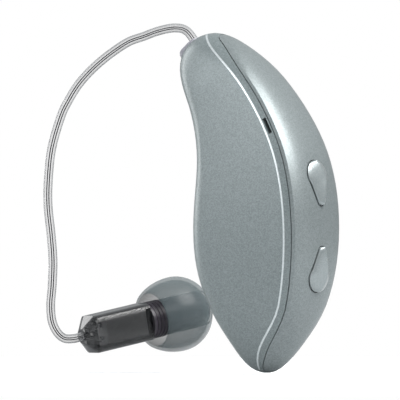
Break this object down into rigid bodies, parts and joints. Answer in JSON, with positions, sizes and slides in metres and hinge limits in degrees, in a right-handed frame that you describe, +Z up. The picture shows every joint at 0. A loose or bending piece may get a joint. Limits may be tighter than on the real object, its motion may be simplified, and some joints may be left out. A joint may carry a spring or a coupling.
{
  "type": "behind-the-ear hearing aid",
  "caption": "Behind-the-ear hearing aid: curved case with drop-shaped buttons on its spine, a formed clear lead and an ear-canal receiver with a soft dome.",
  "frame": {"origin": "on the hollow front of the case, where it rests on the ear", "axes": "+Z up as worn on a left ear, +X back to the spine of the case, +Y towards the head"},
  "size_m": [0.0335, 0.0192, 0.0349],
  "materials": {
    "shell": "metallic lacquer, satin",
    "cover": "metallic lacquer, gloss",
    "button": "metallic lacquer, gloss",
    "gasket": "moulded, matt",
    "frame_plastic": "moulded, matt",
    "board": "solder mask",
    "chip": "moulded, matt",
    "ceramic": "fired ceramic",
    "cell_steel": "satin",
    "nickel": "rolled",
    "gold": "plated, polished",
    "copper": "wound wire",
    "mic_can": "drawn can",
    "screen": "woven",
    "plug_plastic": "moulded",
    "clear_tube": "clear, polished",
    "wire": "enamelled",
    "smoky": "smoky, translucent",
    "receiver_steel": "drawn can",
    "spout": "moulded, satin",
    "filter": "moulded",
    "dome_silicone": "translucent silicone, satin"
  },
  "bodies": {
    "case": {"main_shell": "shell", "spine_cover": "cover", "seam_gasket": "gasket", "chassis": "frame_plastic", "circuit_board": "board", "signal_processor": "chip", "radio_chip": "chip", "chip_parts": "ceramic", "battery_cell": "cell_steel", "battery_tabs": "nickel", "charge_contacts": "gold", "charge_strips": "gold", "front_microphone": "mic_can", "rear_microphone": "mic_can", "front_mic_boot": "gasket", "rear_mic_boot": "gasket", "mic_screens": "screen", "telecoil": "copper", "antenna": "copper", "upper_switch": "nickel", "lower_switch": "nickel", "upper_button_seal": "gasket", "lower_button_seal": "gasket", "lead_socket": "frame_plastic", "socket_contacts": "gold"},
    "upper_button": {"upper_button": "button"},
    "lower_button": {"lower_button": "button"},
    "lead": {"lead_plug": "plug_plastic", "plug_contacts": "gold", "plug_cap": "plug_plastic", "lead_tube": "clear_tube", "lead_wires": "wire", "receiver_housing": "smoky", "receiver_can": "receiver_steel", "receiver_pads": "nickel", "receiver_spout": "spout", "wax_filter": "filter"},
    "dome": {"dome": "dome_silicone"}
  },
  "joints": [
    {"name": "upper_button_press", "type": "slide", "parent": "case", "child": "upper_button", "axis": [-0.9799, 0, -0.1996], "range_m": [0, 0.0003], "stiffness_N_per_m": 1000},
    {"name": "lower_button_press", "type": "slide", "parent": "case", "child": "lower_button", "axis": [-0.9888, 0, 0.1491], "range_m": [0, 0.0003], "stiffness_N_per_m": 1000},
    {"name": "lead_unplug", "type": "slide", "parent": "case", "child": "lead", "axis": [-0.6402, 0, 0.7682], "range_m": [0, 0.007]},
    {"name": "dome_pull", "type": "slide", "parent": "lead", "child": "dome", "axis": [0.2822, 0.9407, 0.1881], "range_m": [0, 0.0055]}
  ]
}
